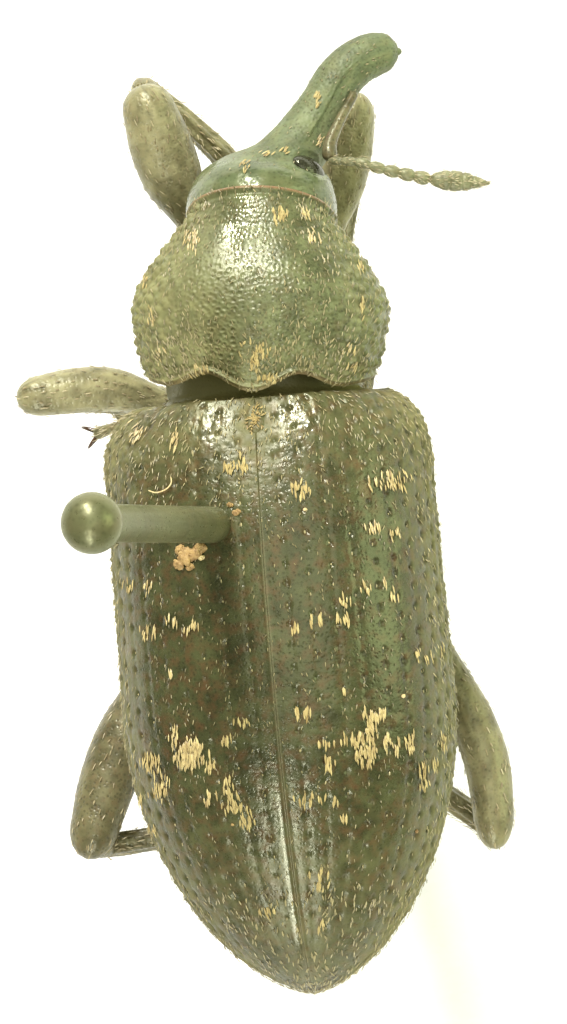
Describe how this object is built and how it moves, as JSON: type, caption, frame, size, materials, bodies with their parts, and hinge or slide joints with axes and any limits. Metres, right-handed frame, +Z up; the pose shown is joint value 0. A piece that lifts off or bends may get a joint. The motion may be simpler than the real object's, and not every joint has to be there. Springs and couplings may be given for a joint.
{
  "type": "pinned weevil specimen on a display block",
  "caption": "Life-size long-snouted weevil with folded legs, held by an insect pin above a small white display block.",
  "frame": {"origin": "middle of the display block's underside, at its level", "axes": "+Z up along the pin, +Y towards the weevil's head, +X towards its right side"},
  "size_m": [0.017, 0.022, 0.0254],
  "materials": {
    "block": "white satin lacquer",
    "pin": "dark enamelled steel pin with a rounded head",
    "back": "glossy black-brown cuticle with rows of punctures and pale ochre scales",
    "prothorax": "glossy black-brown cuticle, punctured in the middle and grained at the sides",
    "belly": "black-brown cuticle with sparse pale scales",
    "head": "finely punctured black-brown cuticle with a few pale scales",
    "eye": "black, finely faceted",
    "feeler": "dark brown, finely haired",
    "leg": "dark brown cuticle, punctured and sparsely scaled"
  },
  "bodies": {
    "root": {"stand_block": "block", "pin": "pin", "wing_case_left": "back", "wing_case_right": "back", "thorax": "belly", "abdomen": "belly", "prothorax": "prothorax", "head": "head", "snout": "head", "eye_left": "eye", "eye_right": "eye", "antenna_shaft_left": "feeler", "antenna_shaft_right": "feeler", "antenna_whip_left": "feeler", "antenna_whip_right": "feeler", "antenna_club_left": "feeler", "antenna_club_right": "feeler", "thigh_front_left": "leg", "thigh_front_right": "leg", "thigh_middle_left": "leg", "thigh_middle_right": "leg", "thigh_hind_left": "leg", "thigh_hind_right": "leg", "shin_front_left": "leg", "shin_front_right": "leg", "shin_middle_left": "leg", "shin_middle_right": "leg", "shin_hind_left": "leg", "shin_hind_right": "leg", "foot_front_left": "leg", "foot_front_right": "leg", "foot_middle_left": "leg", "foot_middle_right": "leg", "foot_hind_left": "leg", "foot_hind_right": "leg"}
  },
  "joints": []
}
